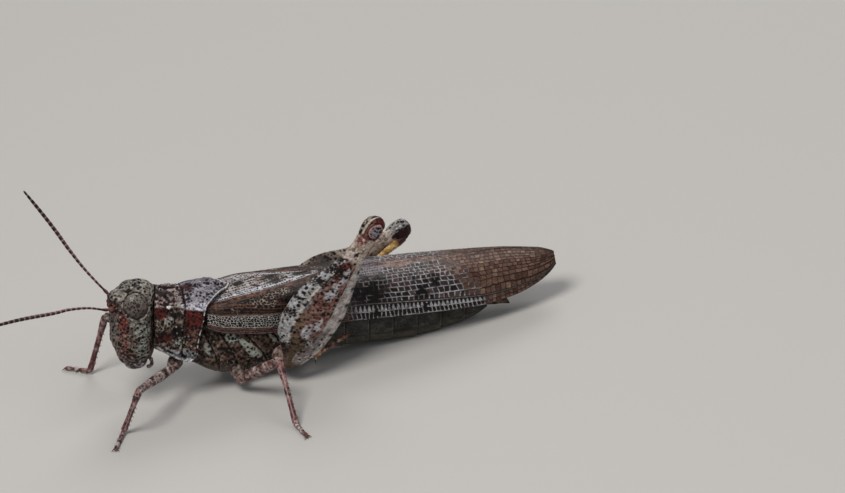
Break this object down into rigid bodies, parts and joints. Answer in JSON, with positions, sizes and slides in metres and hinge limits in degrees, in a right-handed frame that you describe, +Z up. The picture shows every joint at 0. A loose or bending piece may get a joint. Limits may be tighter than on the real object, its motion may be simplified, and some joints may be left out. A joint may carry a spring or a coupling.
{
  "type": "grasshopper",
  "caption": "Adult female band-winged grasshopper at rest, wings folded over the back, hind legs folded, feelers raised.",
  "frame": {"origin": "on the floor, under the middle of the flat on the belly", "axes": "-Y the way the face looks, +X to the animal's left, +Z up"},
  "size_m": [0.0254, 0.0458, 0.0186],
  "materials": {
    "head_shell": "matt pitted shell, grey-olive with dark specks and a rust band",
    "eye_lens": "satin lens, grey-brown with dark specks",
    "antenna_shell": "satin dark red-brown shell",
    "mouth_shell": "satin purple-grey shell with pale highlights",
    "pronotum_shell": "matt granular shell, pale grey with rust-red and black patches",
    "thorax_shell": "matt speckled brown shell with cream patches",
    "abdomen_shell": "satin dark grey-green shell",
    "tegmen_membrane": "matt opaque membrane with raised pale veins on brown",
    "hindwing_membrane": "thin smoky folded membrane",
    "leg_shell": "satin pink-grey shell with dark bands",
    "hind_femur_shell": "satin grey and rust shell with dark dots",
    "hind_tibia_shell": "satin orange-brown shell"
  },
  "bodies": {
    "root": {"head": "head_shell", "eye_left": "eye_lens", "eye_right": "eye_lens", "antenna_left": "antenna_shell", "antenna_right": "antenna_shell", "labrum": "mouth_shell", "mandible_left": "mouth_shell", "mandible_right": "mouth_shell", "palp_left": "mouth_shell", "palp_right": "mouth_shell", "pronotum": "pronotum_shell", "thorax": "thorax_shell", "abdomen": "abdomen_shell", "cercus_left": "abdomen_shell", "cercus_right": "abdomen_shell", "ovipositor_upper": "abdomen_shell", "ovipositor_lower": "abdomen_shell", "tegmen_left": "tegmen_membrane", "tegmen_right": "tegmen_membrane", "hindwing_left": "hindwing_membrane", "hindwing_right": "hindwing_membrane", "fore_coxa_left": "leg_shell", "fore_coxa_right": "leg_shell", "fore_femur_left": "leg_shell", "fore_femur_right": "leg_shell", "fore_tibia_left": "leg_shell", "fore_tibia_right": "leg_shell", "fore_tarsus_left": "leg_shell", "fore_tarsus_right": "leg_shell", "middle_coxa_left": "leg_shell", "middle_coxa_right": "leg_shell", "middle_femur_left": "leg_shell", "middle_femur_right": "leg_shell", "middle_tibia_left": "leg_shell", "middle_tibia_right": "leg_shell", "middle_tarsus_left": "leg_shell", "middle_tarsus_right": "leg_shell", "hind_coxa_left": "leg_shell", "hind_coxa_right": "leg_shell", "hind_femur_left": "hind_femur_shell", "hind_femur_right": "hind_femur_shell", "hind_tibia_left": "hind_tibia_shell", "hind_tibia_right": "hind_tibia_shell", "hind_tarsus_left": "hind_tibia_shell", "hind_tarsus_right": "hind_tibia_shell"}
  },
  "joints": []
}
